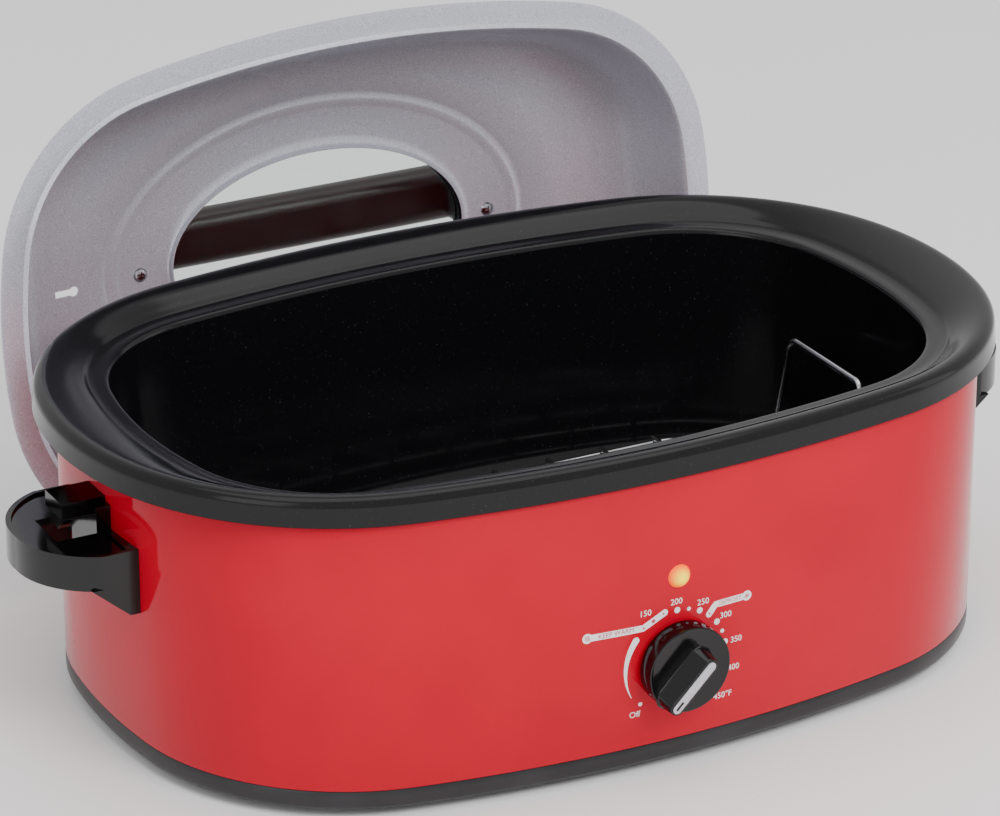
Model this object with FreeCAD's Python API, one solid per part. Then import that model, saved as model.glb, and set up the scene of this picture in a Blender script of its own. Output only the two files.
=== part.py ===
import FreeCAD, Part
import os
from math import sqrt, sin, cos, tan, pi, atan2, radians
from FreeCAD import Vector

# Electric roaster oven, millimetres. X runs along the cooker, Y from front to back, Z up from the table.
# Every shape is made about the cooker's own centre and moved to the middle of the whole outline at the end.

# Outlines: half length, half width, then the radii of the side arcs, the end arcs and the corner arcs
shell_outline = (255.3, 175.2, 738.0, 387.0, 131.0)
rim_outline = (275.0, 177.5, 800.0, 200.0, 156.0)
pan_outline = (225.5, 139.3, 882.0, 273.0, 90.0)
lid_outline = (230.7, 155.6, 702.0, 335.0, 111.0)

# Heights above the table
foot_height = 5.3
base_height = 11.2
shell_height = 156.4
rim_rise = 12.3

# Sheet and wall thicknesses
shell_sheet = 0.8
pan_sheet = 1.0
lid_sheet = 0.8
cover_sheet = 1.0

# Clearances
flat_gap = 0.3
slip_gap = 0.1
shaft_gap = 0.05
screw_gap = 0.2

# Base ring, bottom cover and feet
base_wall = 14.0
base_tongue_height = 6.0
base_tongue_wall = 2.0
cover_step = 2.0
vent_length = 60.0
vent_width = 5.0
vent_pitch = 16.0
vent_count = 7
foot_radius = 10.0
foot_x = 178.0
foot_y = 126.0
foot_spigot_radius = 5.0
foot_screw_radius = 2.0
foot_screw_head_radius = 3.6
foot_screw_head = 2.2
foot_screw_recess = 0.6
foot_edge = 0.8
foot_pad_rim = 2.0

# Pan and its rim
skirt_height = 15.7
rim_roll = 5.0
crest_width = 6.0
ledge_width = 13.0
ledge_step = 2.6
ledge_fall = 0.4
mouth_round = 3.0
dish_overrun = 2.0
wall_taper = 10.0
pan_floor = 38.0
floor_round = 14.0

# Heat well
shell_lip = 9.0
well_clearance = 5.0
well_sheet = 0.8
well_floor_gap = 5.0
well_floor_round = 10.0
well_seam = 8.0

# Heating band and insulation
band_height = 34.0
band_thickness = 2.4
band_lift = 14.0
terminal_radius = 2.0
terminal_length = 7.0
terminal_spacing = 24.0
blanket_gap = 1.6
blanket_thickness = 9.0
blanket_window = 78.0

# Controls on the front
knob_height = 62.5
lamp_height = 112.0
knob_stand_off = 2.0
knob_radius = 24.5
knob_skirt = 11.6
knob_flange = 1.6
knob_flange_radius = 25.0
knob_bar_width = 14.0
knob_bar_rise = 12.0
knob_bar_top_width = 11.0
knob_bar_round = 1.2
knob_off_angle = 45.0
insert_width = 6.0
insert_depth = 0.8
insert_end_gap = 3.0
insert_slot_length = 6.0
insert_slot_width = 1.6
shaft_radius = 3.0
shaft_flat = 1.0
shaft_reach = 8.0
thermostat_width = 30.0
thermostat_depth = 12.0
thermostat_height = 34.0
thermostat_neck_radius = 5.0
bracket_thickness = 1.2
bracket_width = 44.0
bracket_height = 44.0
bulb_radius = 3.0
bulb_length = 60.0
lens_radius = 6.6
lens_stem_radius = 5.0
lens_rise = 4.2
lens_stem = 9.0
lamp_radius = 6.4
lamp_length = 14.0

# Wiring
gland_x = 70.0
gland_height = 42.0
gland_radius = 8.0
gland_bore = 3.6
gland_flange = 2.4
block_length = 40.0
block_depth = 12.0
block_height = 14.0
wire_radius = 1.1
wire_bend = 6.0

# Side handles
handle_reach = 48.0
handle_half_width = 47.0
handle_top = 130.0
handle_thickness = 20.0
handle_floor = 4.0
handle_lip = 2.6
handle_lip_height = 1.6
hook_half_width = 11.0
hook_reach = 25.0
hook_top = 147.0
hook_thickness = 9.0
hook_wall = 8.0
hook_plate_half_width = 17.0
slot_reach = 30.0
slot_half_width = 15.0
gusset_reach = 24.0
gusset_drop = 17.0
gusset_thickness = 4.0
gusset_toe = 3.0
gusset_inset = 1.0
hook_plate_drop = 3.0
handle_boss_radius = 5.0
handle_boss_length = 12.0
handle_screw_spacing = 56.0
handle_screw_radius = 2.2
handle_screw_head_radius = 4.0
handle_screw_head = 2.6
handle_screw_bite = 9.0
backing_sheet = 1.5
backing_height = 16.0

# Lid, in its own frame: X along it, Y across it, Z out of the dome
lid_tilt = 3.72
lid_gap = 1.0
flange_width = 16.0
flange_bead = 2.0
dome_steps = ((17.0, 0.0), (21.0, 25.0), (29.0, 43.0), (42.0, 55.0), (62.0, 63.0))
dome_height = 70.0
ring_length = 274.0
ring_width = 180.0
ring_rise = 3.0
ring_band = 8.0
window_length = 191.0
window_width = 114.0
window_lip = 5.0
glass_thickness = 4.0
glass_overlap = 6.0
seal_wall = 2.2
seal_groove = 3.0
vent_x = 160.0
vent_slot_length = 12.0
vent_slot_width = 4.0
vent_hole_radius = 3.0

# Lid handle
bar_height = 34.0
bar_depth = 22.0
bar_centre = 108.0
bar_round = 10.0
post_round = 4.0
bar_overhang = 17.0
bar_rise = 4.0
post_set = 10.5
post_length = 26.0
post_width = 24.0
lid_screw_radius = 2.2
lid_screw_head_radius = 4.4
lid_screw_head = 2.6
lid_screw_bite = 14.0
post_pilot_gap = 1.0

# Roasting rack
rack_half_length = 178.0
rack_half_width = 98.0
rack_corner = 36.0
rack_wire = 4.0
rack_bar_wire = 3.0
rack_bar_count = 9
rack_deck = 52.0
rack_handle_half_width = 38.0
rack_handle_height = 78.0
rack_handle_lean = 20.0
rack_foot_bend = 6.0
rack_foot_spread = 26.0
rack_foot_slope = 4.0
rack_foot_inset = 2.0
rack_foot_share = 0.62
rack_weld = 0.5
rack_handle_set = 6.0
rack_runner_share = 0.4

# Worked out from the sizes above
base_bottom = foot_height
shell_bottom = base_bottom + base_height
shell_top = shell_bottom + shell_height
rim_height = shell_top + rim_rise
well_flange_top = shell_top + well_sheet
ledge_under = well_flange_top + flat_gap
ledge_top = ledge_under + pan_sheet
skirt_bottom = rim_height - skirt_height
well_floor = pan_floor - pan_sheet - well_floor_gap - well_sheet
front = -shell_outline[1]
well_wall = pan_outline[1] + well_clearance + well_sheet
knob_back = front - knob_stand_off
knob_face = knob_back - knob_skirt
bar_face = knob_face - knob_bar_rise
band_bottom = well_floor + band_lift
post_x = window_length / 2 + glass_overlap + seal_groove + post_set
bar_half_length = post_x + bar_overhang
handle_screw_height = handle_top - handle_thickness / 2
handle_screw_ys = (-handle_screw_spacing / 2, handle_screw_spacing / 2)
handle_screw_edge = handle_screw_spacing / 2 + handle_screw_head_radius
handle_screw_sag = shell_outline[3] - sqrt(shell_outline[3]**2 - handle_screw_edge**2)
foot_spots = [(x, y) for x in (-foot_x, foot_x) for y in (-foot_y, foot_y)]
crown_outline = (ring_length / 2 + ring_band, ring_width / 2 + ring_band, ring_length * 1.3,
                 ring_width * 0.62, ring_width * 0.42)
origin = Vector(0, 0, 0)
up = Vector(0, 0, 1)
forward = Vector(0, -1, 0)


# An oval of eight arcs that meet smoothly, grown outwards all round by one amount
def oval(outline, grow=0.0, z=0.0):
    half_length, half_width, side_radius, end_radius, corner_radius = outline
    side = Vector(0, half_width - side_radius, 0)
    end = Vector(half_length - end_radius, 0, 0)
    to_side = side_radius - corner_radius
    to_end = end_radius - corner_radius
    span = end - side
    along = (to_side**2 - to_end**2 + span.Length**2) / (2 * span.Length)
    across = sqrt(to_side**2 - along**2)
    line = Vector(span).normalize()
    corner = side + line * along + Vector(line.y, -line.x, 0) * across
    first = atan2(corner.y - end.y, corner.x - end.x)
    second = atan2(corner.y - side.y, corner.x - side.x)
    turns = ((end, end_radius, -first, first, 1, 1), (corner, corner_radius, first, second, 1, 1),
             (side, side_radius, second, pi - second, 1, 1), (corner, corner_radius, second, first, -1, 1),
             (end, end_radius, first, -first, -1, 1), (corner, corner_radius, first, second, -1, -1),
             (side, side_radius, second, pi - second, -1, -1), (corner, corner_radius, second, first, 1, -1))
    arcs = []
    for centre, radius, start, stop, flip_x, flip_y in turns:
        spots = [Vector(flip_x * (centre.x + (radius + grow) * cos(a)),
                        flip_y * (centre.y + (radius + grow) * sin(a)), z)
                 for a in (start, (start + stop) / 2, stop)]
        arcs.append(Part.Arc(*spots).toShape())
    return Part.Wire(arcs)


def ellipse(length, width, z=0.0):
    curve = Part.Ellipse(Vector(0, 0, z), length / 2, width / 2)
    return Part.Wire([curve.toShape()])


def prism(wire, height):
    return Part.Face(wire).extrude(Vector(0, 0, height))


# A solid through ovals of one outline, given as growth and height from the bottom up
def stack(outline, steps):
    return Part.makeLoft([oval(outline, grow, z) for grow, z in steps], True, True)


def ring(outline, outer_grow, inner_grow, z, height):
    return prism(oval(outline, outer_grow, z), height).cut(prism(oval(outline, inner_grow, z), height))


def box(low, high):
    size = high - low
    return Part.makeBox(size.x, size.y, size.z, low)


def rod(radius, length, start, direction):
    return Part.makeCylinder(radius, length, start, direction)


# A round rod that runs straight between its points and bends between the runs
def bent_rod(points, radius, bend):
    edges = []
    start = points[0]
    for before, point, after in zip(points, points[1:], points[2:]):
        came = Vector(point - before).normalize()
        goes = Vector(after - point).normalize()
        turn = came.getAngle(goes)
        setback = bend * tan(turn / 2)
        enter = point - came * setback
        leave = point + goes * setback
        inward = Vector(goes - came).normalize()
        middle = point + inward * (bend / cos(turn / 2) - bend)
        edges.append(Part.LineSegment(start, enter).toShape())
        edges.append(Part.Arc(enter, middle, leave).toShape())
        start = leave
    edges.append(Part.LineSegment(start, points[-1]).toShape())
    path = Part.Wire(edges)
    section = Part.Wire([Part.Circle(points[0], points[1] - points[0], radius).toShape()])
    return path.makePipeShell([section], True, False)


def both_sides(shape):
    return Part.makeCompound([shape, shape.mirror(origin, Vector(1, 0, 0))])


def all_corners(shape):
    half = both_sides(shape)
    return Part.makeCompound(list(half.Solids) + list(half.mirror(origin, Vector(0, 1, 0)).Solids))


def outer_shell():
    wall = ring(shell_outline, 0, -shell_sheet, shell_bottom, shell_height)
    lip = ring(shell_outline, 0, -shell_lip, shell_top - shell_sheet, shell_sheet)
    shell = wall.fuse(lip)
    depth = front + shell_lip
    holes = [rod(shaft_radius * 1.5, shell_lip * 2, Vector(0, depth, knob_height), forward),
             rod(lens_stem_radius + slip_gap, shell_lip * 2, Vector(0, depth, lamp_height), forward),
             rod(gland_radius + slip_gap, shell_lip * 2, Vector(gland_x, -depth, gland_height), -forward)]
    for side in (-1, 1):
        for y in handle_screw_ys:
            start = Vector(side * (shell_outline[0] - base_wall), y, handle_screw_height)
            holes.append(rod(handle_screw_radius + screw_gap, base_wall * 2, start, Vector(side, 0, 0)))
    return shell.cut(holes).removeSplitter()


def base_ring():
    body = ring(shell_outline, 0, -base_wall, base_bottom, base_height - slip_gap)
    tongue = ring(shell_outline, -shell_sheet - slip_gap, -shell_sheet - slip_gap - base_tongue_wall,
                  base_bottom, base_height + base_tongue_height)
    seat = prism(oval(shell_outline, -base_wall + cover_step + slip_gap, base_bottom), cover_sheet + slip_gap)
    pads = [rod(foot_radius + foot_pad_rim, base_height - slip_gap - cover_sheet - slip_gap,
                Vector(x, y, base_bottom + cover_sheet + slip_gap), up) for x, y in foot_spots]
    holes = [rod(foot_screw_radius + screw_gap, base_height * 2, Vector(x, y, 0), up) for x, y in foot_spots]
    ring_body = body.fuse(tongue).cut(seat)
    inside = prism(oval(shell_outline, -shell_sheet - slip_gap, base_bottom), base_height + base_tongue_height)
    pads = [pad.common(inside) for pad in pads]
    return ring_body.fuse(pads).cut(holes).removeSplitter()


def bottom_cover():
    plate = prism(oval(shell_outline, -base_wall + cover_step, base_bottom), cover_sheet)
    cuts = []
    for row in range(vent_count):
        y = (row - (vent_count - 1) / 2) * vent_pitch
        cuts.append(box(Vector(-vent_length / 2, y - vent_width / 2, 0),
                        Vector(vent_length / 2, y + vent_width / 2, shell_bottom)))
    cuts += [rod(foot_spigot_radius + slip_gap, shell_bottom, Vector(x, y, 0), up) for x, y in foot_spots]
    return plate.cut(cuts)


def rubber_feet():
    pad = rod(foot_radius, foot_height, Vector(foot_x, foot_y, 0), up)
    low = [edge for edge in pad.Edges if edge.BoundBox.ZMax < foot_edge]
    pad = pad.makeChamfer(foot_edge, low)
    spigot = rod(foot_spigot_radius, cover_sheet + slip_gap, Vector(foot_x, foot_y, foot_height), up)
    pocket = rod(foot_screw_head_radius + screw_gap, foot_screw_head + foot_screw_recess,
                 Vector(foot_x, foot_y, 0), up)
    hole = rod(foot_screw_radius + screw_gap, shell_bottom, Vector(foot_x, foot_y, 0), up)
    return all_corners(pad.fuse(spigot).cut([pocket, hole]))


def foot_screws():
    low = foot_screw_recess
    head = rod(foot_screw_head_radius, foot_screw_head, Vector(foot_x, foot_y, low), up)
    shank = rod(foot_screw_radius, shell_bottom - low, Vector(foot_x, foot_y, low), up)
    return all_corners(head.fuse(shank))


# A solid through ovals of different outlines, each given with its growth and height
def profile(steps):
    return Part.makeLoft([oval(outline, grow, z) for outline, grow, z in steps], True, True)


# The pan below its ledge, inside for a drop of nought and outside when grown and dropped by the sheet
def bowl_steps(grow, drop):
    return [(pan_outline, grow - wall_taper - floor_round, pan_floor - drop),
            (pan_outline, grow - wall_taper - floor_round / 3, pan_floor - drop + floor_round / 3),
            (pan_outline, grow - wall_taper, pan_floor - drop + floor_round),
            (pan_outline, grow, ledge_top - drop - mouth_round),
            (pan_outline, grow + mouth_round, ledge_top - drop)]


def roasting_pan():
    block = stack(rim_outline, ((0, skirt_bottom), (0, rim_height - rim_roll),
                                (-rim_roll * 0.25, rim_height - rim_roll * 0.3), (-rim_roll * 0.8, rim_height)))
    hollow = stack(rim_outline, ((-pan_sheet, skirt_bottom - 1), (-pan_sheet, rim_height - rim_roll),
                                 (-rim_roll * 0.8, rim_height - pan_sheet)))
    under_dish = profile([(pan_outline, ledge_width + pan_sheet, ledge_under),
                          (pan_outline, ledge_width + pan_sheet, ledge_under + ledge_step),
                          (rim_outline, dish_overrun, rim_height + dish_overrun * 0.7)])
    inside = profile(bowl_steps(0, 0) + [(pan_outline, ledge_width - pan_sheet, ledge_top + ledge_fall),
                                         (pan_outline, ledge_width, ledge_top + ledge_step),
                                         (rim_outline, -crest_width, rim_height),
                                         (rim_outline, -crest_width + pan_sheet / 2, rim_height + dish_overrun)])
    outside = profile(bowl_steps(pan_sheet, pan_sheet)
                      + [(pan_outline, pan_sheet + mouth_round, ledge_top - pan_sheet / 4)])
    return block.cut(hollow.cut(under_dish)).fuse(outside).cut(inside).removeSplitter()


# The heat well: its wall with a flange over the casing, and the floor seamed under its foot
def well_liner():
    plate = prism(oval(shell_outline, -shell_sheet, shell_top), well_sheet)

    def body(grow, drop):
        reach = well_clearance + grow
        return stack(pan_outline, ((reach - well_floor_round, well_floor - drop),
                                   (reach, well_floor - drop + well_floor_round), (reach, shell_top + well_sheet / 2)))
    hollow = stack(pan_outline, ((well_clearance - well_floor_round, well_floor),
                                 (well_clearance, well_floor + well_floor_round),
                                 (well_clearance, well_flange_top + 1)))
    opening = well_clearance - well_floor_round
    mouth = prism(oval(pan_outline, opening - well_seam, well_floor - well_sheet * 2), well_sheet * 4)
    floor = prism(oval(pan_outline, opening, well_floor - well_sheet * 2), well_sheet)
    return plate.fuse(body(well_sheet, well_sheet)).cut([hollow, mouth]).removeSplitter(), floor


# The band is a flat belt round the foot of the well, open at the front under the thermostat
def heating_band():
    inner = well_clearance + well_sheet + slip_gap
    belt = ring(pan_outline, inner + band_thickness, inner, band_bottom, band_height)
    gap = box(Vector(-blanket_window / 4, front, 0), Vector(blanket_window / 4, 0, rim_height))
    return belt.cut(gap)


def band_terminals():
    studs = []
    for side in (-1, 1):
        x = side * (blanket_window / 4 + terminal_spacing / 4)
        start = Vector(x, -band_outer(x), band_bottom + band_height / 2)
        studs.append(rod(terminal_radius, terminal_length, start, forward))
    return Part.makeCompound(studs)


# Distance from the middle plane to the band's outer face, at a place along the front
def band_outer(x):
    grow = well_clearance + well_sheet + slip_gap + band_thickness
    radius = pan_outline[2] + grow
    return sqrt(radius**2 - x**2) + pan_outline[1] - pan_outline[2] + slip_gap


def insulation():
    inner = well_clearance + well_sheet + band_thickness + blanket_gap
    blanket = ring(pan_outline, inner + blanket_thickness, inner, band_bottom - band_lift / 2,
                   shell_top - shell_sheet - flat_gap - band_bottom + band_lift / 2)
    front_gap = box(Vector(-blanket_window / 2, -rim_height * 2, 0),
                    Vector(blanket_window / 2, 0, lamp_height + lamp_radius * 3))
    back_gap = box(Vector(gland_x - block_length, 0, 0),
                   Vector(gland_x + block_length, rim_height * 2, gland_height + gland_radius * 2))
    return blanket.cut([front_gap, back_gap])


def thermostat_parts():
    middle = Vector(0, front + shell_sheet + flat_gap, knob_height)
    plate = box(middle + Vector(-bracket_width / 2, 0, -bracket_height / 2),
                middle + Vector(bracket_width / 2, bracket_thickness, bracket_height / 2))
    plate = plate.cut(rod(thermostat_neck_radius + slip_gap, bracket_width, middle, -forward))
    inside = prism(oval(shell_outline, -shell_sheet - slip_gap, 0), rim_height)
    bracket = plate.common(inside)
    face = middle + Vector(0, bracket_thickness, 0)
    body = box(face + Vector(-thermostat_width / 2, 0, -thermostat_height / 2),
               face + Vector(thermostat_width / 2, thermostat_depth, thermostat_height / 2))
    neck = rod(thermostat_neck_radius, bracket_thickness, middle, -forward)
    shaft_hole = rod(shaft_radius + shaft_gap, bracket_thickness + shaft_reach + flat_gap, middle, -forward)
    body = body.fuse(neck).cut(shaft_hole)
    shaft_end = knob_face + flat_gap * 4
    shaft = rod(shaft_radius, middle.y + bracket_thickness + shaft_reach - shaft_end,
                Vector(0, shaft_end, knob_height), -forward)
    shaft = shaft.cut(shaft_flat_block(shaft_end, knob_back, shaft_radius - shaft_flat))
    return bracket, body, shaft


# What is cut from the shaft's end, or kept solid in the knob's bore, to make its flat
def shaft_flat_block(start, stop, level):
    block = box(Vector(-shaft_radius * 2, start, level), Vector(shaft_radius * 2, stop, shaft_radius * 2))
    block.translate(Vector(0, 0, knob_height))
    return turn_to_off(block)


def turn_to_off(shape):
    turned = shape.copy()
    turned.rotate(Vector(0, 0, knob_height), Vector(0, 1, 0), knob_off_angle)
    return turned


def thermostat_bulb():
    x = thermostat_width
    length = bulb_length / 2
    y = -well_wall - bulb_radius - flat_gap
    z = band_bottom + band_height + bulb_radius * 3
    bulb = rod(bulb_radius, length, Vector(x - length, y, z), Vector(1, 0, 0))
    tube = bent_rod([Vector(x - length, y, z), Vector(x - length - wire_bend * 2, y, z),
                     Vector(x - length - wire_bend * 2, y, knob_height + thermostat_height / 2)],
                    wire_radius, wire_bend)
    return bulb.fuse(tube)


def control_knob():
    centre = Vector(0, knob_back, knob_height)
    skirt = rod(knob_radius, knob_skirt, centre, forward)
    flange = rod(knob_flange_radius, knob_flange, centre, forward)
    half = knob_bar_width / 2
    top = knob_bar_top_width / 2
    section = [Vector(-half, knob_face, -knob_radius), Vector(half, knob_face, -knob_radius),
               Vector(top, bar_face, -knob_radius), Vector(-top, bar_face, -knob_radius)]
    bar = Part.Face(Part.makePolygon(section + section[:1])).extrude(Vector(0, 0, knob_radius * 2))
    bar.translate(Vector(0, 0, knob_height))
    bar = bar.common(rod(knob_radius, knob_skirt + knob_bar_rise, centre, forward))
    edges = [edge for edge in bar.Edges if edge.BoundBox.YMax < bar_face + 0.01]
    bar = bar.makeFillet(knob_bar_round, edges)
    bore = rod(shaft_radius + shaft_gap, knob_skirt - flat_gap * 2, centre, forward)
    keep = box(Vector(-shaft_radius * 2, knob_face, shaft_radius - shaft_flat + shaft_gap),
               Vector(shaft_radius * 2, knob_back, shaft_radius * 2))
    keep.translate(Vector(0, 0, knob_height))
    body = skirt.fuse([flange, bar]).cut(bore.cut(keep))
    pocket, insert = insert_strip(slip_gap), insert_strip(0)
    slot = insert_slot()
    return turn_to_off(body.cut(pocket)), turn_to_off(insert.cut(slot))


# The bright strip let into the face of the bar, with round ends
def insert_strip(gap):
    half = insert_width / 2 + gap
    low = -knob_radius + insert_end_gap + insert_width / 2
    high = knob_radius - insert_end_gap - insert_width / 2
    depth = insert_depth + gap
    start = Vector(0, bar_face + depth, knob_height)
    strip = box(start + Vector(-half, -depth, low), start + Vector(half, 0, high))
    ends = [rod(half, depth, start + Vector(0, 0, z), forward) for z in (low, high)]
    return strip.fuse(ends)


def insert_slot():
    half = insert_slot_width / 2
    low = -knob_radius + insert_end_gap + insert_width / 2
    start = Vector(0, bar_face + insert_depth, knob_height)
    strip = box(start + Vector(-half, -insert_depth, low), start + Vector(half, 0, low + insert_slot_length))
    ends = [rod(half, insert_depth, start + Vector(0, 0, z), forward) for z in (low, low + insert_slot_length)]
    return strip.fuse(ends)


def pilot_lamp():
    face = front - slip_gap * 2
    bezel_radius = (lens_radius**2 + lens_rise**2) / (2 * lens_rise)
    dome = Part.makeSphere(bezel_radius, Vector(0, face + bezel_radius - lens_rise, lamp_height))
    dome = dome.common(rod(lens_radius, lens_rise * 2, Vector(0, face, lamp_height), forward))
    stem = rod(lens_stem_radius, lens_stem, Vector(0, face, lamp_height), -forward)
    start = Vector(0, face + lens_stem + flat_gap, lamp_height)
    holder = rod(lamp_radius, lamp_length, start, -forward)
    lugs = [rod(terminal_radius / 2, terminal_length / 2, start + Vector(x, lamp_length, 0), -forward)
            for x in (-lamp_radius / 2, lamp_radius / 2)]
    return dome.fuse(stem), holder.fuse(lugs)


def wiring():
    back = -front - shell_sheet
    gland = rod(gland_radius, gland_flange + base_wall, Vector(gland_x, -front + gland_flange, gland_height), forward)
    collar = rod(gland_radius + gland_flange, gland_flange, Vector(gland_x, -front + slip_gap, gland_height), -forward)
    bore = rod(gland_bore, base_wall * 3, Vector(gland_x, -front + base_wall, gland_height), forward)
    gland = gland.fuse(collar).cut(bore)
    floor_top = base_bottom + cover_sheet
    block_y = back - base_wall - block_depth - gland_flange * 4
    block = box(Vector(gland_x - block_length / 2, block_y, floor_top),
                Vector(gland_x + block_length / 2, block_y + block_depth, floor_top + block_height))
    stations = [gland_x + (n - 1) * block_length / 3 for n in range(3)]
    block = block.cut([rod(wire_radius * 1.6, block_depth / 4, Vector(x, block_y, floor_top + block_height / 2),
                           -forward) for x in stations])
    wires = []
    for n, x in enumerate(stations):
        z = floor_top + block_height / 2
        start = Vector(x, block_y + block_depth / 4 - slip_gap, z)
        run = block_y - wire_bend * 3 - n * wire_bend
        end_y = -well_wall - band_thickness + wire_bend * n
        wires.append(bent_rod([start, Vector(x, run, z), Vector(gland_x - block_length - n * wire_bend, run, z),
                               Vector(gland_x - block_length - n * wire_bend, end_y + wire_bend * 4, z)],
                              wire_radius, wire_bend))
    return gland, block, Part.makeCompound(wires)


# The right handle: a dished shelf with a lip, ribs below and a hook that stands over a slot
def side_handle():
    wall = shell_outline[0]
    bottom = handle_top - handle_thickness
    shelf = prism(shelf_outline(0, bottom), handle_thickness)
    dish = prism(shelf_outline(-handle_lip, handle_top - handle_lip_height), handle_lip_height)
    under = prism(shelf_outline(-handle_lip, bottom), handle_thickness - handle_lip_height - handle_floor)
    bosses = [rod(handle_boss_radius, handle_boss_length + base_wall,
                  Vector(wall - base_wall, y, handle_screw_height), Vector(1, 0, 0)) for y in handle_screw_ys]
    gussets = []
    for y in (-handle_half_width, handle_half_width - gusset_thickness):
        top = bottom + gusset_inset
        corners = [Vector(wall - base_wall, y, top), Vector(wall + gusset_reach, y, top),
                   Vector(wall + gusset_toe, y, bottom - gusset_drop),
                   Vector(wall - base_wall, y, bottom - gusset_drop)]
        gussets.append(Part.Face(Part.makePolygon(corners + corners[:1])).extrude(Vector(0, gusset_thickness, 0)))
    plate = box(Vector(wall - base_wall, -hook_plate_half_width, bottom),
                Vector(wall + hook_wall, hook_plate_half_width, hook_top - hook_plate_drop))
    hook = box(Vector(wall, -hook_half_width, hook_top - hook_thickness),
               Vector(wall + hook_reach, hook_half_width, hook_top))
    back = box(Vector(wall - base_wall, -handle_half_width + handle_lip, bottom),
               Vector(wall + gusset_toe, handle_half_width - handle_lip, handle_top))
    slot = box(Vector(wall + hook_wall, -slot_half_width, 0), Vector(wall + slot_reach, slot_half_width, rim_height))
    body = shelf.cut([dish, under]).fuse(bosses + gussets + [plate, back]).cut(slot).fuse(hook)
    pilots = [rod(handle_screw_radius + shaft_gap, handle_screw_bite + base_wall,
                  Vector(wall - base_wall, y, handle_screw_height), Vector(1, 0, 0)) for y in handle_screw_ys]
    seat = prism(oval(shell_outline, slip_gap, 0), rim_height)
    return body.cut(pilots + [seat]).removeSplitter()


# Plan of the shelf: a shallow curve across the end and a tighter arc at each corner
def shelf_outline(grow, z):
    wall = shell_outline[0] - base_wall
    outer = shell_outline[0] + handle_reach + grow
    half = handle_half_width + grow
    corner_x = shell_outline[0] + handle_reach * 0.36
    bulge_x = shell_outline[0] + handle_reach * 0.83 + grow
    bulge_y = half * 0.62
    edges = [Part.LineSegment(Vector(wall, -half, z), Vector(corner_x, -half, z)).toShape(),
             Part.Arc(Vector(corner_x, -half, z), Vector(bulge_x, -bulge_y, z), Vector(outer, 0, z)).toShape(),
             Part.Arc(Vector(outer, 0, z), Vector(bulge_x, bulge_y, z), Vector(corner_x, half, z)).toShape(),
             Part.LineSegment(Vector(corner_x, half, z), Vector(wall, half, z)).toShape(),
             Part.LineSegment(Vector(wall, half, z), Vector(wall, -half, z)).toShape()]
    return Part.Wire(edges)


def handle_fixings():
    inner = shell_outline[0] - shell_sheet
    holes = [rod(handle_screw_radius + screw_gap, base_wall * 2,
                 Vector(inner - base_wall, y, handle_screw_height), Vector(1, 0, 0)) for y in handle_screw_ys]
    half = handle_screw_edge + handle_screw_head_radius
    slab = box(Vector(0, -half, handle_screw_height - backing_height / 2),
               Vector(inner, half, handle_screw_height + backing_height / 2))
    reach = -shell_sheet - slip_gap
    plate = slab.common(ring(shell_outline, reach, reach - backing_sheet, 0, rim_height)).cut(holes)
    plate = Part.makeCompound([solid for solid in plate.Solids if solid.CenterOfMass.x > 0])
    screws = []
    seat_x = shell_outline[0] + reach - backing_sheet - handle_screw_sag
    for y in handle_screw_ys:
        start = Vector(seat_x - slip_gap - handle_screw_head, y, handle_screw_height)
        head = rod(handle_screw_head_radius, handle_screw_head, start, Vector(1, 0, 0))
        shank = rod(handle_screw_radius, shell_outline[0] + handle_screw_bite - start.x - screw_gap, start,
                    Vector(1, 0, 0))
        screws.append(head.fuse(shank))
    return both_sides(plate), both_sides(Part.makeCompound(screws))


# The lid's dome, or the hollow inside it, from the flange up to the flat top
def dome_solid(grow, drop):
    steps = [(grow - inset, height - drop if height else -lid_sheet) for inset, height in dome_steps]
    lower = stack(lid_outline, steps)
    crown = Part.makeLoft([oval(lid_outline, grow - dome_steps[-1][0], dome_steps[-1][1] - drop),
                           oval(crown_outline, grow, dome_height - ring_rise - drop)], True, True)
    return lower.fuse(crown)


def lid_dome():
    flange = ring(lid_outline, 0, -flange_width - 1, 0, lid_sheet)
    bead = ring(lid_outline, -flange_width + 2, -flange_width - 1, -flange_bead, flange_bead + lid_sheet)
    outside = dome_solid(lid_sheet, 0)
    inside = dome_solid(0, lid_sheet)
    raised = prism(ellipse(ring_length, ring_width, dome_height - ring_rise - 1), ring_rise + 1)
    raised_inside = prism(ellipse(ring_length - lid_sheet * 2, ring_width - lid_sheet * 2,
                                  dome_height - ring_rise - 3), ring_rise + 3 - lid_sheet)
    lip = prism(ellipse(window_length + lid_sheet * 2, window_width + lid_sheet * 2,
                        dome_height - window_lip), window_lip)
    floor_cut = prism(oval(lid_outline, lid_sheet, -lid_sheet * 2), lid_sheet * 2)
    keep = bead.common(floor_cut)
    shell = outside.cut(floor_cut).fuse([flange, raised]).cut([inside, raised_inside]).fuse([lip, keep])
    holes = [prism(ellipse(window_length, window_width, 0), dome_height * 2)]
    for x in (-post_x, post_x):
        holes.append(rod(lid_screw_radius + screw_gap, dome_height * 2, Vector(x, 0, 0), up))
    holes.append(rod(vent_hole_radius, dome_height * 2, Vector(vent_x, 0, 0), up))
    holes.append(box(Vector(vent_x, -vent_slot_width / 2, 0),
                     Vector(vent_x + vent_slot_length, vent_slot_width / 2, dome_height * 2)))
    return shell.cut(holes).removeSplitter()


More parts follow.
